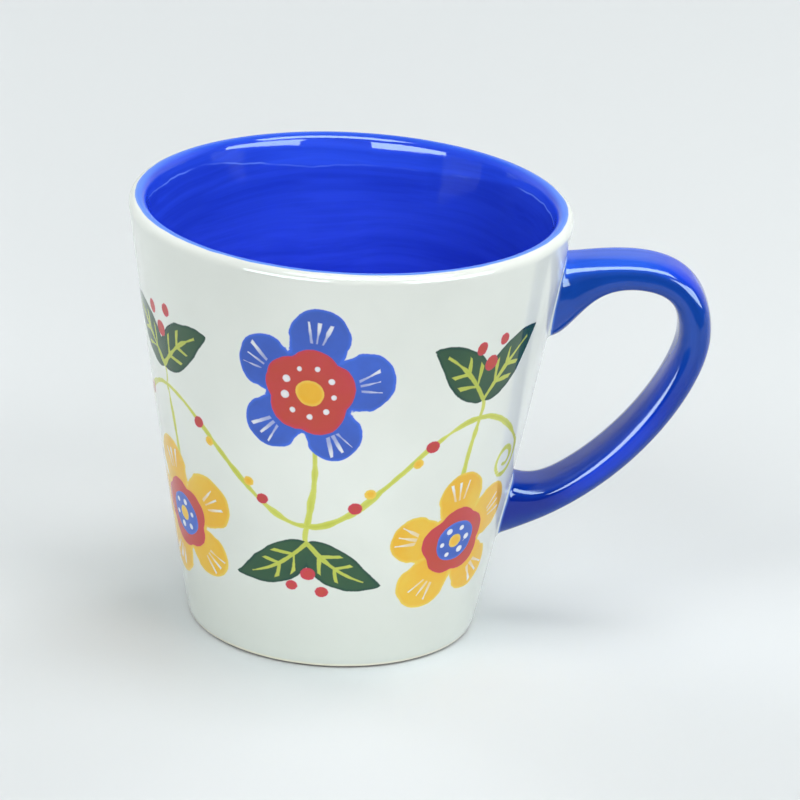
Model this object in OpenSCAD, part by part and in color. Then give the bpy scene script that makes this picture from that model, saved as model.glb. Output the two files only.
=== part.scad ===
// Coffee cup with a conical body and a loop handle.
// One piece of glazed stoneware: the body is turned, the handle is cast and joined while the
// clay is soft, and the two are fired as one. Lengths are in millimetres. The origin is the
// centre of the ring that the cup stands on, +Z is up and the handle points along +X.

/* [Body] */
// Height of the cup from the foot to the top of the lip
cup_h = 100.3; // [85:0.1:120]
// Outside diameter at the lip
lip_d = 100; // [88:0.5:115]
// Outside diameter just above the foot
foot_d = 65.8; // [56:0.1:80]
// How far the middle of the wall bows out from a straight cone
wall_bow = 0.6; // [0:0.1:1.5]
// Thickness of the wall and of the full round lip
wall_t = 4; // [3:0.1:5.5]
// Thickness of the floor above the recess in the foot
floor_t = 5; // [3.5:0.5:8]
// Radius of the corner between the floor and the wall inside
corner_r = 11; // [4:0.5:16]

/* [Foot] */
// Width of the flat ring that the cup stands on
ring_w = 3.4; // [2.5:0.1:6]
// Radius of the round edge on each side of the ring
ring_edge_r = 1; // [0.4:0.1:1.6]
// Depth of the recess under the floor
recess_depth = 2.4; // [1.5:0.1:4]
// How far the recess draws in from the ring to the underside of the floor
recess_draft = 2; // [1:0.5:4]

/* [Handle] */
// How far the handle stands out past the lip
handle_reach = 32.8; // [26:0.1:40]
// Thickness of the handle seen from the side
handle_t = 7.5; // [6:0.1:10]
// Width of the handle seen from its end
handle_w = 14.2; // [10:0.1:18]
// Squareness of the handle's section, where 2 is an ellipse
handle_square = 3; // [2:0.1:4]
// Height at which the middle of the upper arm meets the body
upper_z = 85.5; // [82:0.1:88]
// Rise of the upper arm as it leaves the body, in degrees
upper_rise = 6.8; // [0:0.1:12]
// Straightness of the upper arm
upper_pull = 15.8; // [10:0.1:20]
// Height at which the handle stands out furthest
bend_z = 72.2; // [66:0.1:76]
// Fullness of the bend above its furthest point
bend_pull_up = 17.2; // [14:0.1:22]
// Fullness of the bend below its furthest point
bend_pull_down = 11.4; // [8:0.1:16]
// Height at which the middle of the lower arm meets the body
lower_z = 27.3; // [24:0.1:34]
// Rise of the lower arm as it leaves the body, in degrees
lower_rise = 17; // [8:0.1:24]
// Straightness of the lower arm
lower_pull = 25.5; // [17:0.1:30]

/* [Handle joints] */
// Depth of the web under the upper arm, at the body
web_depth = 8.8; // [5:0.1:10]
// Length over which that web fades into the arm
web_len = 10; // [7:0.1:13]
// Depth of the swell over the lower arm, at the body
crotch_depth = 7.9; // [4:0.1:9]
// Length over which that swell fades into the arm
crotch_len = 8.8; // [6:0.1:11]
// Depth of the swell under the lower arm, at the body
heel_depth = 0.8; // [0.3:0.1:3]
// Length over which that swell fades into the arm
heel_len = 11.6; // [7:0.1:14]
// Swell of each side of the arms, at the body
cheek_depth = 1.2; // [0.4:0.1:2.5]
// Length over which the sides fade into the arms
cheek_len = 5; // [4:0.1:8]

/* [Hidden] */

$fn = 128;
glaze_white = [0.88, 0.90, 0.88];
glaze_blue = [0.13, 0.24, 0.78];

lip_r = wall_t / 2;
lip_z = cup_h - lip_r;
floor_z = recess_depth + floor_t;

wall_steps = 16;
corner_steps = 8;
lip_steps = 6;
edge_steps = 4;
rings_per_arm = 24;
ring_sides = 36;
root_len = 6;
root_rings = 4;
swell_in = 4;
above = 10;

// The outside of the wall, u = 0 at the foot and 1 at the lip: a cone with a shallow bow.
function wall_r(u) = foot_d / 2 + (lip_d - foot_d) / 2 * u + 4 * wall_bow * u * (1 - u);
function wall_z(u) = lip_z * u;
// The lean of the wall from upright there, in degrees
function wall_lean(u) = atan(((lip_d - foot_d) / 2 + 4 * wall_bow * (1 - 2 * u)) / lip_z);
function wall_out(u) = [wall_r(u), wall_z(u)];
// The inside of the wall, one thickness in from the outside and square to it
function wall_in(u) = wall_out(u) + wall_t * [-cos(wall_lean(u)), sin(wall_lean(u))];

// Points of an arc about a centre, from one angle to another
function arc(c, r, a, b, n) = [for (i = [0 : n]) c + r * [cos(a + (b - a) * i / n), sin(a + (b - a) * i / n)]];

// The centre of the round lip, which both walls run into
lip_c = [lip_d / 2 - lip_r, lip_z];
lip_lean = wall_lean(1);

// The corner inside: its arc touches the floor and the wall.
corner_u = (floor_z + corner_r) / lip_z;
corner_lean = wall_lean(corner_u);
corner_c = [wall_r(corner_u) - (wall_t + corner_r) / cos(corner_lean), floor_z + corner_r];

// The cup's outer form as a solid, up to the crest of the lip
module body_form() {
    rotate_extrude()
        polygon(concat(
            [[0, 0]],
            arc([foot_d / 2 - ring_edge_r, ring_edge_r], ring_edge_r, -90, -wall_lean(0), edge_steps),
            [for (i = [1 : wall_steps - 1]) wall_out(i / wall_steps)],
            arc(lip_c, lip_r, -lip_lean, 0, 1),
            arc(lip_c, lip_r, 0, 90, lip_steps),
            [[0, cup_h]]));
}

// The room inside, from the floor to well above the lip
module cavity() {
    low_step = ceil(wall_steps * (corner_u + 0.02));
    rotate_extrude()
        polygon(concat(
            [[0, floor_z]],
            arc(corner_c, corner_r, -90, -corner_lean, corner_steps),
            [for (i = [low_step : wall_steps - 1]) wall_in(i / wall_steps)],
            arc(lip_c, lip_r, 180 - lip_lean, 90, lip_steps),
            [[lip_c[0], cup_h + above], [0, cup_h + above]]));
}

// The recess under the floor, which leaves the ring to stand on
module foot_recess() {
    ring_in = foot_d / 2 - 2 * ring_edge_r - ring_w;
    rotate_extrude()
        polygon(concat(
            [[0, -above], [ring_in + ring_edge_r, -above]],
            arc([ring_in + ring_edge_r, ring_edge_r], ring_edge_r, -90, -180, edge_steps),
            [[ring_in - recess_draft, recess_depth], [0, recess_depth]]));
}

// A cubic curve through p and s, pulled towards q and r
function curve(p, q, r, s, t) =
    pow(1 - t, 3) * p + 3 * pow(1 - t, 2) * t * q + 3 * (1 - t) * pow(t, 2) * r + pow(t, 3) * s;

// The handle's middle line in the XZ plane: out of the body, round the bend and back.
upper_at = [wall_r(upper_z / lip_z), upper_z];
lower_at = [wall_r(lower_z / lip_z), lower_z];
bend_at = [lip_d / 2 + handle_reach - handle_t / 2, bend_z];
upper_dir = [cos(upper_rise), sin(upper_rise)];
lower_dir = [cos(lower_rise), sin(lower_rise)];
line = concat(
    [for (i = [0 : rings_per_arm - 1]) curve(
        upper_at, upper_at + upper_pull * upper_dir,
        bend_at + [0, bend_pull_up], bend_at, i / rings_per_arm)],
    [for (i = [0 : rings_per_arm]) curve(
        bend_at, bend_at - [0, bend_pull_down],
        lower_at + lower_pull * lower_dir, lower_at, i / rings_per_arm)]);
last = len(line) - 1;

// Distance along the line from its start to each of its points
function run(i) = i == 0 ? 0 : run(i - 1) + norm(line[i] - line[i - 1]);
runs = [for (i = [0 : last]) run(i)];

// Direction of the line at each point
function heading(i) =
    let (d = i == 0 ? upper_dir : i == last ? -lower_dir : line[i + 1] - line[i - 1]) d / norm(d);

// A joint's swell at a distance from the body. It is a bell curve, deepest a little way inside.
function swell(depth, distance, length) =
    depth * exp((pow(swell_in, 2) - pow(distance + swell_in, 2)) / pow(length, 2));

// One ring of the handle, or one of its root, sunk some way into the body behind a joint. The
// section is a squarish oval, thicker where the arms join the body.
function section(i, sunk = 0) =
    let (
        h = heading(i),
        out = [-h[1], h[0]],
        at = line[i] - sunk * (i == 0 ? upper_dir : lower_dir),
        from_top = runs[i] - (i == 0 ? sunk : 0),
        from_low = runs[last] - runs[i] - (i == last ? sunk : 0),
        outer = handle_t / 2 + swell(heel_depth, from_low, heel_len),
        inner = handle_t / 2 + swell(web_depth, from_top, web_len) + swell(crotch_depth, from_low, crotch_len),
        side = handle_w / 2 + swell(cheek_depth, from_top, cheek_len) + swell(cheek_depth, from_low, cheek_len),
        middle = at + (outer - inner) / 2 * out,
        half = (outer + inner) / 2
    )
    [for (k = [0 : ring_sides - 1])
        let (
            a = 360 * k / ring_sides,
            c = sign(cos(a)) * pow(abs(cos(a)), 2 / handle_square),
            s = sign(sin(a)) * pow(abs(sin(a)), 2 / handle_square)
        )
        [middle[0] + half * c * out[0], side * s, middle[1] + half * c * out[1]]];

// The handle alone. Its two ends run on into the wall, where the body hides them.
module handle_form() {
    root_step = root_len / root_rings;
    points = concat(
        [for (k = [root_rings : -1 : 1]) each section(0, k * root_step)],
        [for (i = [0 : last]) each section(i)],
        [for (k = [1 : root_rings]) each section(last, k * root_step)]);
    rings = last + 1 + 2 * root_rings;
    polyhedron(
        points = points,
        faces = concat(
            [[for (k = [ring_sides - 1 : -1 : 0]) k]],
            [for (i = [0 : rings - 2], k = [0 : ring_sides - 1])
                let (n = (k + 1) % ring_sides, a = i * ring_sides, b = a + ring_sides)
                [a + k, a + n, b + n, b + k]],
            [[for (k = [0 : ring_sides - 1]) (rings - 1) * ring_sides + k]]));
}

module cup() {
    color(glaze_white)
        difference() {
            union() {
                body_form();
                color(glaze_blue) handle_form();
            }
            color(glaze_blue) cavity();
            foot_recess();
        }
}

cup();
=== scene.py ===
import math

import bpy
import numpy as np
from mathutils import Matrix, Vector


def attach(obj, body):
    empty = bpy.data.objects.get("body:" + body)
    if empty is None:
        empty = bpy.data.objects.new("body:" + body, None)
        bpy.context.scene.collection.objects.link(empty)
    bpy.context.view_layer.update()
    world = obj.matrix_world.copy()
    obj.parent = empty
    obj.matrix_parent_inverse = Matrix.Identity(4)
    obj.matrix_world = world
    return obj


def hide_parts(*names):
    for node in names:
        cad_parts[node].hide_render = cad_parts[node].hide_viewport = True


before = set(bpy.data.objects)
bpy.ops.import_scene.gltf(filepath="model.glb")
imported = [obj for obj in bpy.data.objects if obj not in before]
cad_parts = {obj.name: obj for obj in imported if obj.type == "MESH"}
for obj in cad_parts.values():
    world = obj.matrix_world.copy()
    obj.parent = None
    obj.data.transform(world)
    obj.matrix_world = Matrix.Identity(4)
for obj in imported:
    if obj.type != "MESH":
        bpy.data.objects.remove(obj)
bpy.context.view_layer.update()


# The turned body
# A conical body of white stoneware, turned in one piece with its full round lip and its foot
# ring. Its outline runs from the middle of the underside out over the ring, up the wall, over
# the lip and down the inside to the middle of the floor. All sizes are in millimetres.
MM = 0.001
cup_height = 100.3
lip_radius = 50.0
foot_radius = 32.9
wall_bow = 0.6
wall_thickness = 4.0
floor_thickness = 5.0
inside_corner = 11.0
ring_width = 3.4
ring_edge = 1.0
recess_depth = 2.4
recess_draft = 2.0
recess_corner = 0.8

lip_round = wall_thickness / 2
lip_level = cup_height - lip_round
floor_level = recess_depth + floor_thickness

columns = 360
wall_rows = 120
inside_rows = 38
floor_rows, under_rows = 11, 7
lip_steps, corner_steps = 16, 12
floor_pole_ring, under_pole_ring = 1.5, 2.5
around = np.radians(np.arange(columns) - 180.0)


def wall_radius(z):
    """Outside radius at a height: a straight cone from foot to lip, plus a parabolic bow."""
    u = z / lip_level
    return foot_radius + (lip_radius - foot_radius) * u + 4 * wall_bow * u * (1 - u)


def wall_lean(z):
    """Angle between the wall and upright there, from the slope of the same formula."""
    u = z / lip_level
    return np.arctan(((lip_radius - foot_radius) + 4 * wall_bow * (1 - 2 * u)) / lip_level)


def arc(centre, radius, start, end, steps):
    """Points (r, z) on a circle from one angle to another, in degrees, first and last included."""
    angle = np.radians(np.linspace(start, end, steps + 1))
    return np.column_stack([centre[0] + radius * np.cos(angle), centre[1] + radius * np.sin(angle)])


def straight(start, end, steps):
    """Points (r, z) evenly along a straight line, without its two ends."""
    share = np.linspace(0, 1, steps + 1)[1:-1, None]
    return np.array(start) * (1 - share) + np.array(end) * share


lip_lean = math.degrees(wall_lean(lip_level))
corner_level = floor_level + inside_corner


def cup_outline():
    """The outline (r, z) from underside to floor, and the rows where the wall begins and ends.

    The ring's edges, the lip and the inside corner are arcs that touch their neighbours. The
    inside of the wall is the outside moved in by one thickness, square to it."""
    ring_in = foot_radius - 2 * ring_edge - ring_width
    recess_r = ring_in - recess_draft
    under_r = np.linspace(under_pole_ring, recess_r - recess_corner, under_rows)
    under = np.column_stack([under_r, np.full(under_rows, recess_depth)])
    slope = straight((recess_r, recess_depth), (ring_in, ring_edge), 4)
    inner_edge = arc((ring_in + ring_edge, ring_edge), ring_edge, 180, 270, 4)
    seat = straight((ring_in + ring_edge, 0), (foot_radius - ring_edge, 0), 4)
    foot_lean = math.degrees(wall_lean(0.0))
    outer_edge = arc((foot_radius - ring_edge, ring_edge), ring_edge, -90, -foot_lean, 5)
    wall_z = np.linspace(outer_edge[-1, 1], lip_level, wall_rows + 1)[1:-1]
    wall = np.column_stack([wall_radius(wall_z), wall_z])
    lip = arc((lip_radius - lip_round, lip_level), lip_round, -lip_lean, 180 - lip_lean, lip_steps)
    corner_lean = float(wall_lean(corner_level))
    corner_r = wall_radius(corner_level)
    corner_r -= (wall_thickness + inside_corner) / math.cos(corner_lean)
    inside_z = np.linspace(lip_level, corner_level, inside_rows)[1:]
    lean_in = wall_lean(inside_z)
    inside = np.column_stack([
        wall_radius(inside_z) - wall_thickness * np.cos(lean_in),
        inside_z + wall_thickness * np.sin(lean_in)])
    corner = arc((corner_r, corner_level), inside_corner, -math.degrees(corner_lean), -90,
                 corner_steps)
    inside = inside[inside[:, 1] > corner[0, 1] + 1.0]
    floor_r = np.linspace(corner_r, floor_pole_ring, floor_rows)[1:]
    floor = np.column_stack([floor_r, np.full(len(floor_r), floor_level)])
    before = sum(len(part) for part in (under, slope, inner_edge, seat, outer_edge)) - 1
    rows = np.vstack([under, slope, inner_edge, seat, outer_edge, wall, lip, inside, corner, floor])
    return rows, before, before + len(wall) + 1


outline, wall_start, wall_end = cup_outline()
rows = len(outline)
body_points = np.stack([
    outline[:, :1] * np.cos(around),
    outline[:, :1] * np.sin(around),
    np.repeat(outline[:, 1:], columns, axis=1)], axis=-1)
body_index = np.arange(rows * columns).reshape(rows, columns)


# The cast handle
# A squarish strap of stoneware, slip-cast in a mould and stuck to the leather-hard body with
# slip. It grows into the wall through a web under its upper arm and a swell over its lower one,
# and the joints are sponged round before firing.
handle_reach = 32.8
handle_thickness = 7.5
handle_width = 14.2
handle_square = 3.0
upper_level = 85.5
upper_rise = math.radians(6.8)
upper_pull = 15.8
bend_level = 72.2
bend_pull_up = 17.2
bend_pull_down = 11.4
lower_level = 27.3
lower_rise = math.radians(17)
lower_pull = 25.5
root = 6.0

# Swells at the joints: the depth of each, and how far along the handle it dies away
web = (8.8, 10.0)
crotch = (7.9, 8.8)
heel = (0.8, 11.6)
cheek = (1.2, 5.0)
swell_in = 4.0
joint_round = 1.1
apron_step = 0.5

ring_sides = 120
side_over, side_beside = 32, 28
handle_rings, ring_crowding = 128, 0.6
joint_steps, apron_steps = 6, 6
line_steps, root_steps, side_samples = 400, 24, 9000


def bezier(p, q, r, s, t):
    """Cubic curve through p and s pulled towards q and r, and its direction at each t."""
    p, q, r, s, t = np.array(p), np.array(q), np.array(r), np.array(s), t[:, None]
    point = (1 - t) ** 3 * p + 3 * (1 - t) ** 2 * t * q + 3 * (1 - t) * t ** 2 * r + t ** 3 * s
    along = (1 - t) ** 2 * (q - p) + 2 * (1 - t) * t * (r - q) + t ** 2 * (s - r)
    return point, along / np.linalg.norm(along, axis=1, keepdims=True)


def handle_line():
    """Middle line of the handle in the XZ plane, with its direction and the length run so far.

    One cubic runs from the upper joint to where the handle stands out furthest, another from
    there to the lower joint, and both ends run straight on into the wall."""
    upper = np.array([wall_radius(upper_level), upper_level])
    lower = np.array([wall_radius(lower_level), lower_level])
    bend = np.array([lip_radius + handle_reach - handle_thickness / 2, bend_level])
    out = np.array([math.cos(upper_rise), math.sin(upper_rise)])
    back = np.array([math.cos(lower_rise), math.sin(lower_rise)])
    t = np.linspace(0, 1, line_steps + 1)
    first, first_dir = bezier(upper, upper + upper_pull * out, bend + [0, bend_pull_up], bend, t)
    second, second_dir = bezier(
        bend, bend - [0, bend_pull_down], lower + lower_pull * back, lower, t)
    line = np.vstack([first, second[1:]])
    heading = np.vstack([first_dir, second_dir[1:]])
    run = np.concatenate([[0], np.cumsum(np.linalg.norm(np.diff(line, axis=0), axis=1))])
    sunk = np.linspace(root, 0, root_steps + 1)[:-1]
    line = np.vstack([upper - sunk[:, None] * out, line, lower - sunk[::-1, None] * back])
    heading = np.vstack([np.tile(out, (root_steps, 1)), heading, np.tile(-back, (root_steps, 1))])
    return line, heading, np.concatenate([-sunk, run, run[-1] + sunk[::-1]]), run[-1]


def swell(joint, distance):
    """Extra depth near a joint: a bell curve, deepest a little way inside the body."""
    depth, length = joint
    return depth * np.exp((swell_in ** 2 - (distance + swell_in) ** 2) / length ** 2)


def ring_turns():
    """Angles round the squarish section, spaced evenly along each side between its corners."""
    turn = np.radians(np.linspace(-45, 315, 4 * side_samples + 1))
    c, s = squarish(turn)
    step = np.hypot(np.diff(c * handle_thickness), np.diff(s * handle_width))
    run = np.concatenate([[0], np.cumsum(step)])
    corners = run[::side_samples]
    counts = (side_over, side_beside, side_over, side_beside)
    spots = [np.linspace(a, b, n + 1)[:-1] for a, b, n in zip(corners[:-1], corners[1:], counts)]
    return np.roll(np.interp(np.concatenate(spots), run, turn), -side_over // 2)


def squarish(turn):
    """Unit superellipse: cosine and sine, each to the power 2 / squareness with its sign kept."""
    power = 2 / handle_square
    c, s = np.cos(turn), np.sin(turn)
    return np.sign(c) * np.abs(c) ** power, np.sign(s) * np.abs(s) ** power


def handle_surface():
    """Points of the handle: a ring of the squarish section, square to the line, at each point.

    The section is thicker inside the loop and wider where the arms join the body."""
    line, heading, run, whole = handle_line()
    from_top, from_low = run, whole - run
    outer = handle_thickness / 2 + swell(heel, from_low)
    inner = handle_thickness / 2 + swell(web, from_top) + swell(crotch, from_low)
    side = handle_width / 2 + swell(cheek, from_top) + swell(cheek, from_low)
    out = np.column_stack([-heading[:, 1], heading[:, 0]])
    middle = line + ((outer - inner) / 2)[:, None] * out
    c, s = squarish(ring_turns())
    reach = ((outer + inner) / 2)[:, None] * c
    return np.stack([
        middle[:, :1] + reach * out[:, :1],
        side[:, None] * s,
        middle[:, 1:] + reach * out[:, 1:]], axis=-1)


def onto_wall(points):
    """The same points moved straight in or out to the outside of the wall."""
    angle = np.arctan2(points[..., 1], points[..., 0])
    r = wall_radius(points[..., 2])
    return np.stack([r * np.cos(angle), r * np.sin(angle), points[..., 2]], axis=-1)


def read_along(lengths, values, wanted):
    """Linear reading of values down each column at the wanted lengths, all columns at once."""
    below = (lengths[None, :, :] <= wanted[:, None, :]).sum(axis=1) - 1
    below = np.clip(below, 0, len(lengths) - 2)
    start = np.take_along_axis(lengths, below, axis=0)
    step = np.take_along_axis(lengths, below + 1, axis=0) - start
    share = ((wanted - start) / step)[..., None]
    low = np.take_along_axis(values, below[..., None], axis=0)
    high = np.take_along_axis(values, below[..., None] + 1, axis=0)
    return low + (high - low) * share


def joint_length(points, lengths):
    """Length along each column at which it comes out of the wall, by linear reading."""
    proud = np.hypot(points[..., 0], points[..., 1]) - wall_radius(points[..., 2])
    after = np.argmax(proud > 0, axis=0)[None]
    g0, l0, g1, l1 = (np.take_along_axis(values, row, axis=0)[0]
                      for row in (after - 1, after) for values in (proud, lengths))
    return l0 - (l1 - l0) * g0 / (g1 - g0)


def joint_fillet(edge, away):
    """Rings of a small round from the wall to the handle: a quadratic curve for each column.

    It starts on the wall, square to the edge, is pulled towards the edge where handle and wall
    would meet, and ends on the handle."""
    run = np.roll(edge, -1, axis=0) - np.roll(edge, 1, axis=0)
    lean = wall_lean(edge[:, 2])
    angle = np.arctan2(edge[:, 1], edge[:, 0])
    normal = np.column_stack([
        np.cos(lean) * np.cos(angle), np.cos(lean) * np.sin(angle), -np.sin(lean)])
    outward = np.cross(run, normal)
    outward /= np.linalg.norm(outward, axis=1, keepdims=True)
    outward *= np.sign(np.sum(outward * (edge - edge.mean(axis=0)), axis=1, keepdims=True))
    start = onto_wall(edge + joint_round * outward)
    t = np.linspace(0, 1, joint_steps + 1)[:-1, None, None]
    return (1 - t) ** 2 * start + 2 * t * (1 - t) * edge + t ** 2 * away


def window_rows(edge):
    """First and last wall row of the window that a joint with this edge is set in."""
    level = (edge[:, 2].min() + edge[:, 2].max()) / 2
    middle = wall_start + int(np.argmin(np.abs(outline[wall_start:wall_end, 1] - level)))
    return middle - side_beside // 2, middle + side_beside // 2


def window_loop(first, last, up):
    """Rows and columns round a window, from the middle of its far side, as the ring's turn runs."""
    mid, half = columns // 2, side_over // 2
    far, near = (last, first) if up else (first, last)
    rows_down = np.linspace(far, near, side_beside + 1).astype(int)
    loop = [(far, c) for c in range(mid, mid + half)]
    loop += [(r, mid + half) for r in rows_down[:-1]]
    loop += [(near, c) for c in range(mid + half, mid - half, -1)]
    loop += [(r, mid - half) for r in rows_down[:0:-1]]
    loop += [(far, c) for c in range(mid - half, mid)]
    return tuple(np.array(loop).T)


def apron(edge, rim):
    """Rings on the wall between a joint and its window, even steps in angle and height."""
    def flat(points):
        return np.column_stack([np.arctan2(points[:, 1], points[:, 0]), points[:, 2]])
    share = np.linspace(0, 1, apron_steps + 2)[1:-1, None, None]
    spot = flat(edge) * (1 - share) + flat(rim) * share
    r = wall_radius(spot[..., 1])
    return np.stack([r * np.cos(spot[..., 0]), r * np.sin(spot[..., 0]), spot[..., 1]], axis=-1)


handle_grid = handle_surface()
lengths = np.linalg.norm(np.diff(handle_grid, axis=0), axis=-1)
lengths = np.vstack([np.zeros(ring_sides), np.cumsum(lengths, axis=0)])
top_join = joint_length(handle_grid, lengths)
low_join = lengths[-1] - joint_length(handle_grid[::-1], lengths[-1] - lengths[::-1])
top_edge, low_edge = read_along(lengths, handle_grid, np.stack([top_join, low_join]))
upper_window = window_rows(top_edge)
lower_window = window_rows(low_edge)
upper_loop = window_loop(*upper_window, True)
lower_loop = window_loop(*lower_window, False)


def handle_rings_and_reach():
    """All rings from the upper window to the lower one, and how far each point is from the wall.

    The rings are spaced by a sine that crowds them towards the joints. The reach is in mm along
    the handle, and negative on the wall outside the joint."""
    t = np.linspace(0, 1, handle_rings)
    spread = (t - ring_crowding * np.sin(2 * math.pi * t) / (2 * math.pi))[:, None]
    wanted = top_join + joint_round + (low_join - top_join - 2 * joint_round) * spread
    strap = read_along(lengths, handle_grid, wanted)
    top_round = joint_fillet(top_edge, strap[0])
    low_round = joint_fillet(low_edge, strap[-1])[::-1]
    top_apron = apron(top_round[0], body_points[upper_loop])[::-1]
    low_apron = apron(low_round[-1], body_points[lower_loop])
    rings = np.vstack([top_apron, top_round, strap, low_round, low_apron])
    near = np.minimum(wanted - top_join, low_join - wanted)
    climb = np.linspace(-1, 1, joint_steps + 1)[:-1, None] * joint_round * np.ones(ring_sides)
    fall = -joint_round - apron_step * np.arange(1, apron_steps + 1)[:, None] * np.ones(ring_sides)
    reach = np.vstack([fall[::-1], climb, near, climb[::-1], fall])
    return rings, reach


handle_points, handle_reach_mm = handle_rings_and_reach()


# The fired body in one piece
# Body and handle are one piece of fired clay, so they are one closed skin. The handle's rings
# are sewn into two windows in the wall, and the underside and the floor close at their middles.
def grid_faces(index):
    """Four-sided faces between neighbouring rows and columns, the last column meeting the first."""
    right = np.roll(index, -1, axis=1)
    return np.stack([index[:-1], right[:-1], right[1:], index[1:]], axis=-1)


wall_faces = grid_faces(body_index)
wall_kept = np.ones(wall_faces.shape[:2], bool)
for first, last in (upper_window, lower_window):
    wall_kept[first:last, columns // 2 - side_over // 2:columns // 2 + side_over // 2] = False
wall_faces = wall_faces[wall_kept]

ring_count = len(handle_points)
ring_start = rows * columns
ring_index = ring_start + np.arange(ring_count * ring_sides).reshape(-1, ring_sides)
sewn = np.vstack([body_index[upper_loop], ring_index, body_index[lower_loop]])
handle_faces = grid_faces(sewn)[..., ::-1].reshape(-1, 4)

poles = np.array([[0, 0, recess_depth], [0, 0, floor_level]])
under_pole = ring_start + ring_count * ring_sides
floor_pole = under_pole + 1
first_row, last_row = body_index[0], body_index[-1]
under_fan = np.stack([np.full(columns, under_pole), np.roll(first_row, -1), first_row], axis=-1)
floor_fan = np.stack([last_row, np.roll(last_row, -1), np.full(columns, floor_pole)], axis=-1)

points = np.vstack([body_points.reshape(-1, 3), handle_points.reshape(-1, 3), poles])
used = np.zeros(len(points), bool)
for faces in (wall_faces, handle_faces, under_fan, floor_fan):
    used[faces] = True
renumber = np.cumsum(used) - 1


def along_outline():
    """Length along the outline at each row, zero at the middle of the underside."""
    step = np.linalg.norm(np.diff(outline, axis=0), axis=1)
    return outline[0, 0] + np.concatenate([[0], np.cumsum(step)])


def mesh_piece(name, points, faces):
    """A smooth-shaded mesh object from points in millimetres and a list of face arrays."""
    mesh = bpy.data.meshes.new(name)
    corners = np.concatenate([f.ravel() for f in faces])
    sizes = np.concatenate([np.full(len(f), f.shape[1]) for f in faces])
    mesh.vertices.add(len(points))
    mesh.vertices.foreach_set("co", (points * MM).ravel())
    mesh.loops.add(len(corners))
    mesh.loops.foreach_set("vertex_index", corners)
    mesh.polygons.add(len(sizes))
    mesh.polygons.foreach_set("loop_start", np.concatenate([[0], np.cumsum(sizes)[:-1]]))
    mesh.polygons.foreach_set("use_smooth", np.ones(len(sizes), bool))
    mesh.update(calc_edges=True)
    piece = bpy.data.objects.new(name, mesh)
    bpy.context.scene.collection.objects.link(piece)
    return piece


def note(piece, name, values):
    """Keeps one number, such as a distance in mm, or three for each vertex, for the materials."""
    kind, field = ("FLOAT", "value") if values.ndim == 1 else ("FLOAT_VECTOR", "vector")
    layer = piece.data.attributes.new(name, kind, "POINT")
    layer.data.foreach_set(field, values.astype(np.float32).ravel())


cup = mesh_piece("stoneware_cup", points[used],
                 [renumber[f] for f in (wall_faces, handle_faces, under_fan, floor_fan)])


# The painted pattern
# Flowers, leaves and berries on a winding stem, brushed by hand in ceramic colours on the bare
# white wall and covered by the clear glaze. Each colour is kept as the distance in millimetres
# from its edge, measured on the cone of the wall rolled out flat.
cone_sine = (lip_radius - foot_radius) / math.hypot(lip_radius - foot_radius, lip_level)
far_off = 99.0
stem_width = 0.7
stem_level, stem_rise = 49.5, 12.5
stem_crest, stem_wave = 312.0, 105.8
stem_ends = (24.0, 336.0)
curl_size = 5.2
high_bloom, low_bloom = 70.5, 30.5
petal_count, petal_reach, petal_half = 5, 11.9, 6.7
red_brush = 4.3
leaf_length, leaf_width, leaf_sag = 20.5, 5.3, 1.6


def rolled_out(turn, z):
    """Place on the flat cone, in mm, of the spot of the wall at a turn in degrees and a height."""
    reach = wall_radius(z) / cone_sine
    swing = np.radians(turn - 180.0) * cone_sine
    return np.stack([reach * np.sin(swing), reach * np.cos(swing)], axis=-1)


wall_span = slice(wall_start, wall_end + 1)
wall_turn, wall_level = np.meshgrid(np.degrees(around) % 360, outline[wall_span, 1])
wall_plane = rolled_out(wall_turn, wall_level)
paints = {name: np.full(wall_level.shape, far_off) for name in (
    "lime", "green", "gold", "blue", "red", "heart_blue", "heart_gold")}
off_leaves, off_blossoms = (np.full(wall_level.shape, far_off) for _ in range(2))
leaf_place, petal_place, dot_place = (
    np.full(wall_level.shape + (3,), far_off) for _ in range(3))


def near_line(line, margin):
    """Which spots of the wall are within a margin of the box round a line."""
    low, high = line.min(axis=0) - margin, line.max(axis=0) + margin
    return np.all((wall_plane > low) & (wall_plane < high), axis=-1)


def stroke(paint, line, width):
    """Adds one brush stroke: the distance to a line of changing half-width, kept where nearer."""
    line = np.asarray(line, float)
    width = np.broadcast_to(width, len(line))
    near = near_line(line, width.max() + 4)
    spot = wall_plane[near][:, None]
    step = np.diff(line, axis=0)
    share = np.clip(np.sum((spot - line[:-1]) * step, axis=-1) / np.sum(step ** 2, axis=-1), 0, 1)
    gap = np.linalg.norm(spot - line[:-1] - share[..., None] * step, axis=-1)
    gap -= width[:-1] + share * np.diff(width)
    paints[paint][near] = np.minimum(paints[paint][near], gap.min(axis=1))


def spot_frame(turn, z, tilt=0.0):
    """Maps places near a spot, in mm to its right and above it, to the flat cone, with a tilt."""
    centre = rolled_out(turn, z)
    up = centre / np.linalg.norm(centre)
    right = np.array([up[1], -up[0]])
    c, s = math.cos(math.radians(tilt)), math.sin(math.radians(tilt))

    def place(x, y):
        x, y = np.asarray(x, float), np.asarray(y, float)
        return centre + (c * x - s * y)[..., None] * right + (s * x + c * y)[..., None] * up
    return place


def dab(paint, place, x, y, radius):
    """A round touch of the brush."""
    stroke(paint, place(np.array([x, x + 0.1]), np.array([y, y])), radius)


def stem_phase(turn):
    """How far along its wave the long stem is at a turn, in radians from a crest."""
    return np.radians((turn - stem_crest) * 360 / stem_wave)


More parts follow.
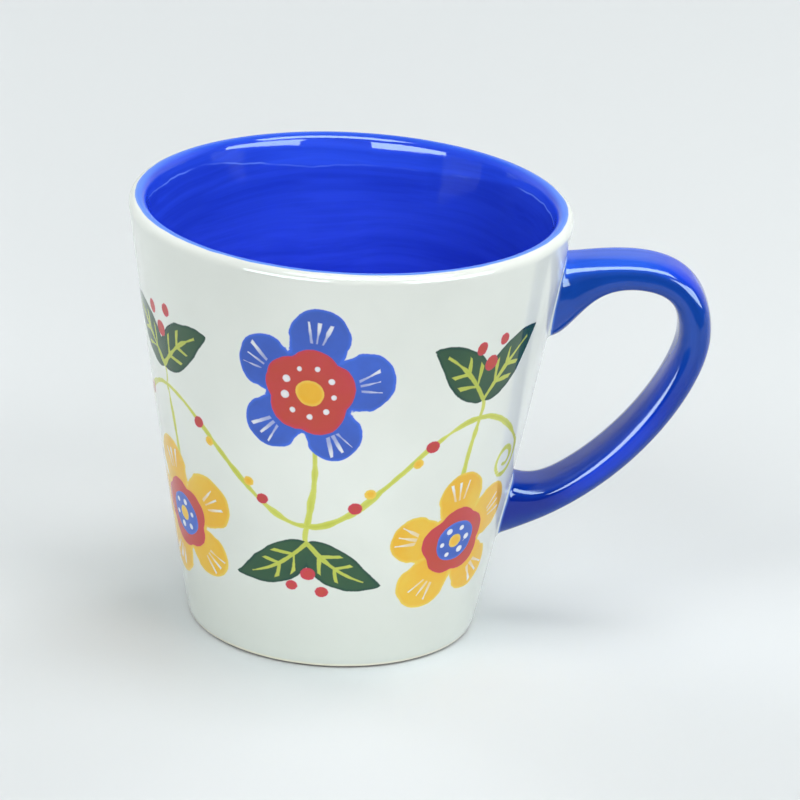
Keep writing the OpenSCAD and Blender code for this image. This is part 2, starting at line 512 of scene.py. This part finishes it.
def winding_stem():
    """Distance above the long stem's middle and past its ends, and its half-width, all in mm.

    The stem is a cosine wave round the wall. The distance is the height above the wave times the
    cosine of the wave's slope."""
    wave = stem_phase(wall_turn)
    r = wall_radius(wall_level)
    slope = -stem_rise * 360 / stem_wave * np.sin(wave) / r
    above = (wall_level - stem_level - stem_rise * np.cos(wave)) / np.sqrt(1 + slope ** 2)
    past = np.radians(np.maximum(stem_ends[0] - wall_turn, wall_turn - stem_ends[1])) * r
    width = stem_width + 0.1 * np.sin(wall_turn / 7) + 0.06 * np.sin(wall_turn / 2.3)
    return np.stack([above, past, width], axis=-1)


def curls():
    """A spiral curl at each end of the long stem, beside the handle.

    It is a circle of falling radius, nearly one and a half turns of it, that sets off along the
    stem, and its brush stroke gets thinner towards the middle."""
    for turn, side in zip(stem_ends, (1, -1)):
        ends = np.array([turn + 1.5 * side, turn])
        line = rolled_out(ends, stem_level + stem_rise * np.cos(stem_phase(ends)))
        ahead = (line[1] - line[0]) / np.linalg.norm(line[1] - line[0])
        across = side * np.array([-ahead[1], ahead[0]])
        share = np.linspace(0, 1, 40)[:, None]
        bend = 2.9 * math.pi * share
        size = curl_size * (1 - 0.72 * share)
        curl = line[1] + curl_size * across + size * (ahead * np.sin(bend) - across * np.cos(bend))
        stroke("lime", curl, stem_width * (1 - 0.35 * share[:, 0]))


def beside(line, near):
    """Length run along a line to the nearest point of it, and distance to its left, in mm.

    The line's first and last pieces run on past its ends."""
    step = np.diff(line, axis=0)
    length = np.linalg.norm(step, axis=-1)
    gap = wall_plane[near][:, None] - line[:-1]
    share = np.sum(gap * step, axis=-1) / length ** 2
    held = np.clip(share, 0, 1)
    held[:, 0] = np.minimum(share[:, 0], 1)
    held[:, -1] = np.maximum(share[:, -1], 0)
    away = np.linalg.norm(gap - held[..., None] * step, axis=-1)
    away *= np.sign(step[:, 0] * gap[..., 1] - step[:, 1] * gap[..., 0])
    nearest = np.abs(away).argmin(axis=1)[:, None]
    along = (np.cumsum(length) - length) + held * length
    return [np.take_along_axis(values, nearest, axis=1)[:, 0] for values in (along, away)]


def leaf(place, x, y, angle, inner):
    """A pointed leaf from its foot at an angle from upright, and the frame of its veins.

    Its middle line is bowed by half a sine wave. Its half-width is a sine that is fullest before
    the middle, tapered towards the tip. The frame is the length along and the distance across."""
    a = math.radians(angle)
    t = np.linspace(0, 1, 25)
    ahead, sag = leaf_length * t, -leaf_sag * inner * np.sin(math.pi * t)
    line = place(x + ahead * math.sin(a) + sag * math.cos(a),
                 y + ahead * math.cos(a) - sag * math.sin(a))
    stroke("green", line, leaf_width * np.sin(math.pi * t ** 0.8) ** 0.9 * (1 - 0.25 * t) + 0.12)
    near = near_line(line, 9.0)
    along, across = beside(line, near)
    away = np.hypot(across, np.maximum(np.maximum(-along, along - leaf_length), 0))
    closer = away < off_leaves[near]
    veins_at = np.stack([along, inner * across, np.abs(across)], axis=-1)
    leaf_place[near] = np.where(closer[:, None], veins_at, leaf_place[near])
    off_leaves[near] = np.minimum(away, off_leaves[near])


def blossom(turn, z, tilt, petals, ring, heart, seed):
    """A flower of five round petals round a wavy red field, with a dotted centre.

    Its petals are dabs drawn out from the middle, and their sizes and angles vary a little. The
    frames of the petals' lines and of the dots are the place along and across the nearest one's
    own ray from the middle, and the distance across without its sign."""
    place = spot_frame(turn, z, tilt)
    draw = np.random.default_rng(seed)
    step = 360 / petal_count
    for k in range(petal_count):
        a = math.radians(90 + step * k + draw.uniform(-3.5, 3.5))
        size = 1 + draw.uniform(-0.05, 0.05)
        r = np.linspace(3.0, petal_reach * size, 9)
        wide = np.linspace(2.5, petal_half * size, 9)
        stroke(petals, place(r * math.cos(a), r * math.sin(a)), wide)
    dab(petals, place, 0, 0, ring + 0.5)
    a = np.linspace(0, 2 * math.pi, 61)
    lobes = ring + 0.75 * np.cos(petal_count * (a - math.pi / 2)) + 0.25 * np.sin(3 * a + seed)
    lobes -= red_brush
    stroke("red", place(lobes * np.cos(a), lobes * np.sin(a)), red_brush)
    dab("red", place, 0, 0, ring - 3)
    if heart == "heart_blue":
        dab("heart_blue", place, 0.2, 0, 5.4)
        dab("heart_gold", place, 0.1, 0.1, 1.7)
        dot_count, dot_ring, dot_size = 6, 3.6, 0.68
    else:
        dab("heart_gold", place, 0.2, -0.1, 3.1)
        dot_count, dot_ring, dot_size = 9, 5.7, 0.82

    local = wall_plane - place(0, 0)
    px, py = local @ (place(1, 0) - place(0, 0)), local @ (place(0, 1) - place(0, 0))
    r, angle = np.hypot(px, py), np.arctan2(py, px)
    closer = r < off_blossoms
    off_blossoms[closer] = r[closer]
    fold = np.radians((np.degrees(angle) - 90 + step / 2) % step - step / 2)
    along, across = r * np.cos(fold), r * np.sin(fold)
    petal_place[closer] = np.stack([along, across, np.abs(across)], axis=-1)[closer]

    steps = angle * dot_count / (2 * math.pi)
    nearest = np.round(steps).astype(int) % dot_count
    fold = (steps - np.round(steps)) * 2 * math.pi / dot_count
    size, out, aside = (
        (middle + draw.uniform(-give, give, dot_count))[nearest]
        for middle, give in ((dot_size, 0.12), (dot_ring, 0.2), (0.0, 0.06)))
    along, across = r * np.cos(fold), r * np.sin(fold)
    in_dots = [(along - out) / size, (across - aside) / size, np.abs(across) / (size + 0.07)]
    dot_place[closer] = np.stack(in_dots, axis=-1)[closer]


# Six blossoms stand by turns above the stem's troughs and below its crests, each with a pair of
# leaves and three berries on the stem's other side. Berries sit on the slopes between them.
stem_place = winding_stem()
curls()
for number, turn in enumerate((312, 259, 206.2, 153.3, 100.4, 47.5)):
    high = number % 2 == 1
    bloom_level = (high_bloom if high else low_bloom) + (0.0, 0.6, -0.5, 0.4, 0.0, -0.6)[number]
    tilt = (5.0, -8.0, 12.0, 4.0, -10.0, 9.0)[number]
    vine = stem_level - stem_rise if high else stem_level + stem_rise
    t = np.linspace(0, 1, 12)
    stalk = spot_frame(turn, vine)
    sway = 1.6 * np.sin(math.pi * t) * (1 if number % 3 else -1)
    stroke("lime", stalk(sway, t * (bloom_level - vine)), stem_width - 0.05)
    if high:
        blossom(turn, bloom_level, tilt, "blue", 9.6, "heart_gold", 11 + number)
    else:
        blossom(turn, bloom_level, tilt, "gold", 8.4, "heart_blue", 11 + number)
    way = -1 if high else 1
    stroke("lime", stalk(0.4 * np.sin(3 * t) * way, way * 5.5 * t), stem_width - 0.1)
    for side in (-1, 1):
        angle = 90 * (1 - way) + side * way * (50 + 4 * (number % 3))
        leaf(stalk, 0.3 * side, way * 5.0, angle, side * way)
    dab("red", stalk, 0.3, way * 13.2, 1.7)
    for side in (-1, 1):
        dab("red", stalk, 3.4 * side, way * (17.6 + 0.5 * side), 1.45)

for number, turn in enumerate((285.5, 232.5, 179.7, 127.0, 74.0)):
    sprig = spot_frame(turn, stem_level)
    rise = (-1, 1)[number % 2]
    for x, y, paint, size in (
            (-5.2, 3.6, "heart_gold", 1.25), (-8.3, 7.4, "red", 1.5),
            (5.2, -3.6, "heart_gold", 1.25), (8.3, -7.4, "red", 1.5)):
        dab(paint, sprig, x * rise, y, size)


# The fired body's glazes
# Clear glossy glaze over the white body and its painting, and a cobalt blue glaze brushed on
# inside, over the lip and on the handle. The ring of the foot is wiped bare, so that it doesn't
# stick in the kiln.
blue_edge_turn = 72.0
handle_edge_low, handle_edge_high, handle_edge_swing = 0.15, -0.3, 0.55
brush_squeeze = 0.03
ring_gap = 1.1
bare_margin = 0.95
ripple_depth, streak_depth = 0.00016, 0.00001

outline_run = along_outline()
lip_turn = np.linspace(-lip_lean, 180 - lip_lean, lip_steps + 1)
lip_run = outline_run[wall_end:wall_end + lip_steps + 1]
blue_edge, crest_run = np.interp([blue_edge_turn, 90.0], lip_turn, lip_run)
body_run = np.repeat(outline_run[:, None], columns, axis=1)
body_r = np.hypot(body_points[..., 0], body_points[..., 1])
body_turn = np.arctan2(body_points[..., 1], body_points[..., 0])

ring_turn = 2 * math.pi * np.arange(ring_sides) / ring_sides
ring_number = np.arange(ring_count)[:, None] * np.ones(ring_sides)
upper_edge = handle_edge_high + handle_edge_swing * (1 - np.cos(ring_turn))
ring_blue = handle_reach_mm - np.where(
    ring_number < ring_count // 2, upper_edge, handle_edge_low)
girth = (handle_width + handle_thickness) / math.pi


def all_points(body_values, ring_values, pole_values):
    """One row of values for every point of the skin, from those of the body, handle and poles."""
    width = () if body_values.ndim == 2 else (body_values.shape[-1],)
    return np.concatenate([
        body_values.reshape(-1, *width), ring_values.reshape(-1, *width),
        np.array(pole_values, float).reshape(2, *width)])[used]


def wall_only(values):
    """The same for values that only the outside of the wall has, far off elsewhere."""
    body = np.full((rows, columns) + values.shape[2:], far_off)
    body[wall_span] = values
    rings = np.full((ring_count, ring_sides) + values.shape[2:], far_off)
    return all_points(body, rings, np.full((2,) + values.shape[2:], far_off))


# The brush went round the body in leaning circles and along the handle. Its marks are noise on
# places that are squeezed together along its way, which draws them out.
brush_across = body_run + 2.2 * np.cos(body_turn - 0.6)
body_brush = np.concatenate([
    body_points[..., :2] * brush_squeeze, brush_across[..., None]], axis=-1)
ring_brush = np.stack([
    ring_number * ring_gap * brush_squeeze + 40, girth * np.cos(ring_turn) + 0 * ring_number,
    girth * np.sin(ring_turn) + 0 * ring_number], axis=-1)
seat_middle = foot_radius - ring_edge - ring_width / 2
off_seat = np.maximum(np.abs(body_r - seat_middle) - ring_width / 2, 0)
bare = np.hypot(off_seat, body_points[..., 2]) - bare_margin
rings_off = np.full((ring_count, ring_sides), far_off)
# How far below the crest the painted reflection of the front lip runs inside: lower at the back,
# with a small wave.
lip_reflection_depth = 4.2 + 4.6 * np.clip(np.sin(body_turn), 0, 1) ** 3 + 0.5 * np.sin(7 * body_turn + 1)
normals = np.empty(used.sum() * 3, np.float32)
cup.data.vertex_normals.foreach_get("vector", normals)

poles_off = [-far_off, far_off]
note(cup, "cobalt_mm", all_points(body_run - blue_edge, ring_blue, poles_off))
note(cup, "crest_mm", all_points(body_run - crest_run, rings_off, poles_off))
note(cup, "lip_reflection_mm", all_points(body_run - crest_run - lip_reflection_depth, rings_off, poles_off))
note(cup, "bare_mm", all_points(bare, rings_off, [far_off, far_off]))
# Which way each point faces, up or down, for the painted light and shade on the handle.
note(cup, "upward", normals[2::3])
note(cup, "brush", all_points(body_brush, ring_brush, [[0, 0, 0], [0, 0, outline_run[-1]]]))
for name, values in (
        ("petal", petal_place), ("dot", dot_place), ("leaf", leaf_place), ("stem", stem_place)):
    note(cup, name, wall_only(values))
for name, distance in paints.items():
    note(cup, name + "_mm", wall_only(distance))


def srgb(red, green, blue):
    """A colour given in 0 to 255 as a screen shows it, turned into light for a shader."""
    c = np.array([red, green, blue]) / 255
    light = np.where(c <= 0.04045, c / 12.92, ((c + 0.055) / 1.055) ** 2.4)
    return (*light.tolist(), 1.0)


def shader_node(tree, kind, inputs=None, **settings):
    """A new node of that kind, its properties set and its inputs wired or given their values."""
    made = tree.nodes.new(kind)
    for key, value in settings.items():
        setattr(made, key, value)
    for key, value in (inputs or {}).items():
        if isinstance(value, bpy.types.NodeSocket):
            tree.links.new(value, made.inputs[key])
        else:
            made.inputs[key].default_value = value
    return made


def maths(tree, operation, *values):
    """The output of a Math node fed with sockets or numbers."""
    return shader_node(
        tree, "ShaderNodeMath", dict(enumerate(values)), operation=operation).outputs[0]


def ramp(tree, value, start, end, low=0.0, high=1.0):
    """The value brought from one range to another, smoothly and held at its ends."""
    return shader_node(
        tree, "ShaderNodeMapRange", {0: value, 1: start, 2: end, 3: low, 4: high},
        interpolation_type="SMOOTHSTEP").outputs[0]


def blend(tree, factor, first, second):
    """Mix of two colours."""
    return shader_node(
        tree, "ShaderNodeMix", {0: factor, 6: first, 7: second}, data_type="RGBA").outputs[2]


def noise(tree, vector, scale, strength=1.0, detail=2.0, roughness=0.5):
    """Noise about zero, mostly within 0.3 times its strength."""
    made = shader_node(
        tree, "ShaderNodeTexNoise",
        {"Vector": vector, "Scale": scale, "Detail": detail, "Roughness": roughness})
    return maths(tree, "MULTIPLY_ADD", made.outputs[0], strength, -0.5 * strength)


def apart(tree, vector):
    """The three numbers of a vector."""
    return shader_node(tree, "ShaderNodeSeparateXYZ", {0: vector}).outputs


def node_group(name, inputs, outputs):
    """A new shader group with its named inputs and outputs, and the sockets of its inputs."""
    tree = bpy.data.node_groups.new(name, "ShaderNodeTree")
    for in_out, sockets in (("INPUT", inputs), ("OUTPUT", outputs)):
        for label, kind in sockets.items():
            tree.interface.new_socket(label, in_out=in_out, socket_type="NodeSocket" + kind)
    return tree, tree.nodes.new("NodeGroupInput").outputs


# One colour laid on with a loaded brush: its edge trembles, the paint is thinner there and
# lets the white through, and its body is a little cloudy.
brushed, given = node_group(
    "hand_brushed",
    {"Under": "Color", "Edge": "Float", "Full": "Color", "Thin": "Color", "Cover": "Float",
     "Place": "Vector"}, {"Colour": "Color"})
spot = given["Place"]
tremble = noise(brushed, spot, 190.0, 1.1, detail=1.0)
fringe = noise(brushed, spot, 1100.0, 0.16, detail=1.0)
paint_edge = maths(brushed, "ADD", maths(brushed, "ADD", given["Edge"], tremble), fringe)
mask = maths(brushed, "MULTIPLY", ramp(brushed, paint_edge, 0.13, -0.13), given["Cover"])
cloud = maths(brushed, "ADD", noise(brushed, spot, 420.0, 0.5, 3.0, 0.6),
              noise(brushed, spot, 95.0, 1.3, detail=1.0))
full = maths(brushed, "ADD", ramp(brushed, paint_edge, -0.05, -0.9, 0.0, 0.8), cloud)
full = maths(brushed, "MINIMUM", maths(brushed, "MAXIMUM", full, 0.0), 1.0)
tint = blend(brushed, full, given["Thin"], given["Full"])
shader_node(brushed, "NodeGroupOutput", {"Colour": blend(brushed, mask, given["Under"], tint)})

# Three thin strokes on each petal, fanned out from the middle of the flower
line_start, line_end, line_half, fan_start = 11.4, 16.1, 0.3, 7.5
lines, given = node_group("petal_lines", {"Petal": "Vector"}, {"Edge": "Float", "Cover": "Float"})
along, across, off_ray = apart(lines, given["Petal"])
line_edge = far_off
for fan in (-0.3, 0.02, 0.31):
    off_line = maths(
        lines, "MULTIPLY_ADD", maths(lines, "SUBTRACT", along, fan_start), -fan, across)
    line_edge = maths(lines, "MINIMUM", line_edge, maths(lines, "ABSOLUTE", off_line))
line_edge = maths(lines, "SUBTRACT", line_edge, line_half)
for held, limit in ((line_start, along), (along, line_end), (off_ray, 4.6)):
    line_edge = maths(lines, "MAXIMUM", line_edge, maths(lines, "SUBTRACT", held, limit))
shader_node(lines, "NodeGroupOutput", {
    "Edge": line_edge, "Cover": ramp(lines, along, 12.2, 15.6, 0.42, 0.96)})

# The ring of white dots round a flower's heart
dots, given = node_group("heart_dots", {"Dot": "Vector"}, {"Edge": "Float"})
along, across, off_ray = apart(dots, given["Dot"])
off_dot = maths(dots, "SQRT", maths(
    dots, "MULTIPLY_ADD", along, along, maths(dots, "MULTIPLY", across, across)))
off_dot = maths(dots, "MAXIMUM", maths(dots, "MULTIPLY_ADD", off_dot, 0.78, -0.78),
                maths(dots, "SUBTRACT", off_ray, 1.0))
shader_node(dots, "NodeGroupOutput", {"Edge": off_dot})

# A thin midrib on each leaf, with two veins on each side of it
rib_half, rib_end = 0.6, 16.5
veins, given = node_group("leaf_veins", {"Leaf": "Vector"}, {"Edge": "Float"})
along, across, off_ray = apart(veins, given["Leaf"])
off_rib = maths(veins, "ABSOLUTE", across)
rib = maths(veins, "SUBTRACT", off_rib, maths(veins, "MULTIPLY_ADD", along, -0.02, rib_half))
rib = maths(veins, "MAXIMUM", rib, maths(veins, "SUBTRACT", along, rib_end))
for start, reach in ((4.0, 3.6), (8.6, 2.9)):
    vein = maths(veins, "SUBTRACT", along, maths(veins, "MULTIPLY_ADD", off_rib, 0.95, start))
    vein = maths(veins, "MULTIPLY_ADD", maths(veins, "ABSOLUTE", vein), 0.725, -0.36)
    vein = maths(veins, "MAXIMUM", vein, maths(veins, "SUBTRACT", off_rib, reach))
    rib = maths(veins, "MINIMUM", rib, vein)
for held, limit in ((off_ray, 4.4), (-1.0, along)):
    rib = maths(veins, "MAXIMUM", rib, maths(veins, "SUBTRACT", held, limit))
shader_node(veins, "NodeGroupOutput", {"Edge": rib})

# The long stem, joined to its stalks and curls
stems, given = node_group("stems", {"Stem": "Vector", "Stalks": "Float"}, {"Edge": "Float"})
above, past, half = apart(stems, given["Stem"])
long_stem = maths(stems, "SUBTRACT", maths(stems, "ABSOLUTE", above), half)
long_stem = maths(stems, "MAXIMUM", long_stem, past)
shader_node(stems, "NodeGroupOutput", {
    "Edge": maths(stems, "MINIMUM", long_stem, given["Stalks"])})

# The cobalt glaze: paler where it runs thin over the lip and at its edge, all with the streaks of
# the brush, and with painted light, shade and reflection inside the cup and on the handle
blue, given = node_group(
    "cobalt_glaze_and_painted_light",
    {"Edge": "Float", "Crest": "Float", "Coat": "Float", "Upward": "Float", "Brush": "Vector",
     "Place": "Vector"}, {"Colour": "Color", "Mask": "Float", "Height": "Float"})
spot, crest, upward = given["Place"], given["Crest"], given["Upward"]
x, y, z = apart(blue, spot)
drift = shader_node(blue, "ShaderNodeTexNoise", {"Vector": spot, "Scale": 28.0, "Detail": 1.0})
drift = shader_node(blue, "ShaderNodeVectorMath", {
    0: drift.outputs["Color"], "Scale": 6.0}, operation="SCALE").outputs[0]
brush_at = shader_node(blue, "ShaderNodeVectorMath", {
    0: given["Brush"], 1: drift}, operation="ADD").outputs[0]
streak = maths(blue, "ADD", noise(blue, brush_at, 0.13, 1.5, roughness=0.6),
               noise(blue, brush_at, 0.7, 0.9, roughness=0.6))
shade = ramp(blue, streak, -0.55, 0.55)


def streaked(dark, light):
    """The cobalt between two colours, by the streaks of the brush."""
    return blend(blue, shade, srgb(*dark), srgb(*light))


# Inside it is painted paler low down, as painted light from above. A band a little below the lip
# is painted lighter, a painted reflection of the bright room, and its lower edge is a fine broken
# pale line, a painted reflection of the front lip.
inside = blend(blue, ramp(blue, crest, 8.0, 50.0),
               streaked((26, 56, 190), (46, 80, 226)), streaked((42, 70, 224), (64, 96, 250)))
# Painted shade: darker towards the handle's side.
inside = blend(blue, ramp(blue, x, 0.0, 0.05, 0.0, 0.4), inside, srgb(24, 48, 160))
# Painted reflection: a lighter band below the lip, and a pale broken line along its lower edge.
lip_reflection_edge = maths(blue, "ADD", given["Coat"], noise(blue, spot, 45.0, 3.2, 3.0, 0.6))
inside = blend(blue, ramp(blue, lip_reflection_edge, -0.7, 0.7),
               streaked((34, 68, 206), (52, 92, 238)), inside)
lip_reflection_line = maths(blue, "MULTIPLY", ramp(blue, maths(blue, "ABSOLUTE", lip_reflection_edge), 0.3, 0.05),
             ramp(blue, noise(blue, spot, 55.0), -0.12, 0.1, 0.0, 0.7))
inside = blend(blue, lip_reflection_line, inside, srgb(120, 160, 245))
off_crest = maths(blue, "ABSOLUTE", maths(blue, "SUBTRACT", crest, 0.1))
thin_crest = maths(blue, "MULTIPLY", ramp(blue, off_crest, 1.7, 0.2),
                   ramp(blue, y, 0.0, 0.045, 0.8, 0.3))
inside = blend(blue, thin_crest, inside, srgb(70, 132, 246))

# On the handle the colour is painted light and shade, set by height, by how far out it is and by
# which way it faces. The upper arm is lighter on top, a deeper blue on top out at the bend, and
# darker and greyer on its sides and underside. The lower arm is painted as more lit from the front,
# a brighter blue, greyer where it faces down and darker where it faces up towards the wall, in the
# joint by the wall and at the bend.
lower_arm = blend(blue, ramp(blue, x, 0.047, 0.058),
                  srgb(2, 36, 142), streaked((2, 48, 186), (14, 62, 212)))
lower_arm = blend(blue, ramp(blue, x, 0.066, 0.077), lower_arm, srgb(0, 38, 158))
lower_arm = blend(blue, ramp(blue, upward, -0.5, 0.1), srgb(12, 58, 150), lower_arm)
lower_arm = blend(blue, ramp(blue, upward, 0.1, 0.6), lower_arm, srgb(2, 52, 162))
upper_arm = blend(blue, ramp(blue, x, 0.064, 0.079),
                  streaked((26, 78, 200), (48, 102, 234)), srgb(8, 56, 218))
upper_arm = blend(blue, ramp(blue, upward, 0.1, 0.85),
                  streaked((12, 60, 148), (24, 72, 170)), upper_arm)
handle = blend(blue, ramp(blue, z, 0.05, 0.075), lower_arm, upper_arm)
colour = blend(blue, ramp(blue, crest, 85.0, 95.0), inside, handle)

blue_rim = maths(blue, "ADD", given["Edge"], noise(blue, spot, 120.0, 0.5))
colour = blend(blue, ramp(blue, blue_rim, 0.7, 0.1, 0.0, 0.6), colour, srgb(105, 156, 238))
shader_node(blue, "NodeGroupOutput", {
    "Colour": colour, "Mask": ramp(blue, blue_rim, -0.12, 0.12), "Height": streak})

glaze = bpy.data.materials.new("painted_glazed_stoneware")
glaze.use_nodes = True
tree = glaze.node_tree
tree.nodes.clear()
place = shader_node(tree, "ShaderNodeTexCoord").outputs["Object"]


def kept(name, output="Fac"):
    """A number that the mesh keeps under that name."""
    return shader_node(tree, "ShaderNodeAttribute", attribute_name=name).outputs[output]


def grouped(group, **inputs):
    """Outputs of a group placed in this material, its inputs wired or given their values."""
    return shader_node(tree, "ShaderNodeGroup", inputs, node_tree=group).outputs


# The white glaze, a little uneven, with painted shade that greys it towards the foot, and the
# painting
# on it, coat by coat: each has its edge, its colour where full and where thin, and how well it
# covers.
cloudy_with_foot_shade = maths(tree, "ADD", noise(tree, place, 35.0, 0.9, detail=3.0),
               ramp(tree, apart(tree, place)[2], 0.06, 0.0, 0.0, -0.8))
colour = blend(tree, ramp(tree, cloudy_with_foot_shade, -1.0, 0.5), srgb(212, 218, 211), srgb(236, 241, 235))
stem_edge = grouped(stems, Stem=kept("stem", "Vector"), Stalks=kept("lime_mm"))[0]
vein_edge = grouped(veins, Leaf=kept("leaf", "Vector"))[0]
line_edge, line_cover = grouped(lines, Petal=kept("petal", "Vector"))
dot_edge = grouped(dots, Dot=kept("dot", "Vector"))[0]
for edge, full, thin, cover in (
        (stem_edge, (188, 196, 52), (206, 212, 92), 0.95),
        (kept("green_mm"), (50, 88, 60), (28, 70, 58), 1.0),
        (vein_edge, (180, 194, 64), (196, 206, 90), 0.92),
        (kept("gold_mm"), (232, 180, 50), (232, 202, 82), 1.0),
        (kept("blue_mm"), (56, 92, 188), (62, 108, 222), 1.0),
        (kept("red_mm"), (190, 70, 58), (198, 62, 78), 1.0),
        (kept("heart_blue_mm"), (58, 94, 186), (66, 112, 214), 1.0),
        (kept("heart_gold_mm"), (234, 178, 46), (236, 202, 84), 1.0),
        (line_edge, (240, 243, 240), (226, 232, 236), line_cover),
        (dot_edge, (240, 243, 242), (226, 232, 238), 0.94)):
    colour = grouped(brushed, Under=colour, Edge=edge, Full=srgb(*full), Thin=srgb(*thin),
                     Cover=cover, Place=place)[0]

# The cobalt over that, and the bare clay of the foot, with a thin stained edge of glaze round it
blue_colour, blue_mask, blue_height = grouped(
    blue, Edge=kept("cobalt_mm"), Crest=kept("crest_mm"), Coat=kept("lip_reflection_mm"),
    Upward=kept("upward"), Brush=kept("brush", "Vector"), Place=place)
colour = blend(tree, blue_mask, colour, blue_colour)
off_clay = maths(tree, "ADD", kept("bare_mm"), noise(tree, place, 300.0, 0.2))
clay = ramp(tree, off_clay, 0.1, -0.1)
colour = blend(tree, ramp(tree, off_clay, 0.9, 0.1, 0.0, 0.7), colour, srgb(240, 234, 214))
grit = ramp(tree, noise(tree, place, 2200.0, detail=3.0), -0.2, 0.2)
raw_clay_and_edge_shadow = blend(tree, grit, srgb(196, 184, 166), srgb(218, 208, 192))
# Near its edges the clay is dark brown: partly stained clay, partly painted shadow where the ring
# meets the table.
raw_clay_and_edge_shadow = blend(tree, ramp(tree, off_clay, -0.85, -0.5), raw_clay_and_edge_shadow, srgb(96, 84, 78))
colour = blend(tree, clay, colour, raw_clay_and_edge_shadow)
height = maths(tree, "MULTIPLY_ADD", maths(tree, "MULTIPLY", blue_height, blue_mask), streak_depth,
               noise(tree, place, 42.0, ripple_depth, detail=1.0))
bump = shader_node(tree, "ShaderNodeBump", {"Strength": 1.0, "Distance": 1.0, "Height": height})
surface = shader_node(tree, "ShaderNodeBsdfPrincipled", {
    "Base Color": colour, "Roughness": ramp(tree, clay, 0.0, 1.0, 0.045, 0.85), "IOR": 1.45,
    "Normal": bump.outputs[0]})
shader_node(tree, "ShaderNodeOutputMaterial", {0: surface.outputs[0]})
cup.data.materials.append(glaze)

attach(cup, "root")
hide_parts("cup")


# The table and the light
# A pale sheet that ends a little in front of the cup and sweeps up behind it, in a white light
# tent that is open and dark at the front, though the camera itself sees it pale all round.
# Softboxes stand round the cup.
sheet_half, sheet_near, sheet_bend, sheet_back = 1400, -215, 900, 1500
sheet_rows = 20
tent_white = 0.86
sweep = np.radians(np.linspace(0, 90, sheet_rows - 1))
sheet_y = np.concatenate([[sheet_near], sheet_bend + (sheet_back - sheet_bend) * np.sin(sweep)])
sheet_z = np.concatenate([[0], (sheet_back - sheet_bend) * (1 - np.cos(sweep))])
sheet_points = np.concatenate([
    np.column_stack([np.full(sheet_rows, side * sheet_half), sheet_y, sheet_z])
    for side in (-1, 1)])
left = np.arange(sheet_rows - 1)
right = left + sheet_rows
table = mesh_piece("table_sheet", sheet_points,
                   [np.stack([left, right, right + 1, left + 1], axis=-1)])
paper = bpy.data.materials.new("pale_paper")
paper.use_nodes = True
for socket, value in (
        ("Base Color", srgb(214, 218, 219)), ("Roughness", 0.9), ("Specular IOR Level", 0.0)):
    paper.node_tree.nodes["Principled BSDF"].inputs[socket].default_value = value
table.data.materials.append(paper)

world = bpy.data.worlds.new("light_tent")
bpy.context.scene.world = world
world.use_nodes = True
air = world.node_tree
side_aim, back_aim, up_aim = apart(
    air, shader_node(air, "ShaderNodeTexCoord").outputs["Generated"])
above_table = ramp(air, up_aim, -0.03, 0.01)
walls = maths(air, "MULTIPLY", ramp(air, back_aim, 0.0, 0.4), ramp(air, up_aim, 0.75, 0.6))
room = maths(air, "MULTIPLY_ADD", walls, 0.7, 0.12)
room = maths(air, "MULTIPLY_ADD", room, above_table, 0.02)
path = shader_node(air, "ShaderNodeLightPath").outputs
shown = maths(air, "MAXIMUM", path["Is Camera Ray"],
              maths(air, "MULTIPLY", path["Is Glossy Ray"], walls))
room = maths(air, "MAXIMUM", room, maths(air, "MULTIPLY", shown, tent_white))
air.nodes["Background"].inputs["Color"].default_value = srgb(236, 242, 244)
air.links.new(room, air.nodes["Background"].inputs["Strength"])


def softbox(name, azimuth, rise, radiance, wide=24, high=24, mirrored=False):
    """An area light that faces the cup from about three metres, all its angles in degrees.

    Its azimuth runs from +Y towards +X, and its width and height are as seen from the cup. It
    either lights matt surfaces or is what the glaze mirrors, so that each has its own strength."""
    distance = 2.8 if mirrored else 3.0
    a, e = math.radians(azimuth), math.radians(rise)
    outward = Vector((math.sin(a) * math.cos(e), math.cos(a) * math.cos(e), math.sin(e)))
    lamp = bpy.data.lights.new(name, "AREA")
    lamp.shape = "RECTANGLE"
    lamp.size = 2 * distance * math.tan(math.radians(wide) / 2)
    lamp.size_y = 2 * distance * math.tan(math.radians(high) / 2)
    lamp.energy = radiance * lamp.size * lamp.size_y * math.pi
    lamp.color = (0.74, 0.96, 1.0) if mirrored else (1.0, 1.0, 1.0)
    rig = bpy.data.objects.new(name, lamp)
    rig.location = outward * distance
    rig.rotation_euler = outward.to_track_quat("Z", "Y").to_euler()
    rig.visible_diffuse = not mirrored
    rig.visible_glossy = mirrored
    bpy.context.scene.collection.objects.link(rig)


softbox("softbox_above", 90, 82, 5.1)
softbox("softbox_right", 90, 45, 2.7)
softbox("softbox_right_front", 135, 45, 4.1)
softbox("softbox_left_front", -135, 45, 5.0)
softbox("softbox_front", 180, 15, 4.9)
softbox("softbox_front_low", 168, 12, 2.3)
softbox("softbox_back_right", 45, 17, 9.6, high=20)
softbox("softbox_back_left", -45, 17, 8.7, high=20)
softbox("mirrored_above", 162, 65, 15.5, 58, 28, True)
softbox("mirrored_right", 128, 17, 14.0, 46, 28, True)
softbox("mirrored_left", -147, 9.5, 16.0, 43, 21, True)


# The camera
# A long lens, a little over a metre from the cup and looking down at it by some twenty degrees.
camera_data = bpy.data.cameras.new("camera")
camera_data.lens = 227.35
camera_data.sensor_width = 36.0
camera_data.clip_start = 0.05
camera = bpy.data.objects.new("camera", camera_data)
camera_place = (-0.03739, -1.07078, 0.47273)
swing, tip, roll = -0.0473, -0.3735, 0.0563
camera.matrix_world = (
    Matrix.Translation(camera_place)
    @ Matrix.Rotation(swing, 4, "Z")
    @ Matrix.Rotation(math.pi / 2 + tip, 4, "X")
    @ Matrix.Rotation(roll, 4, "Z"))
bpy.context.scene.collection.objects.link(camera)
bpy.context.scene.camera = camera
bpy.context.scene.view_settings.view_transform = "Standard"
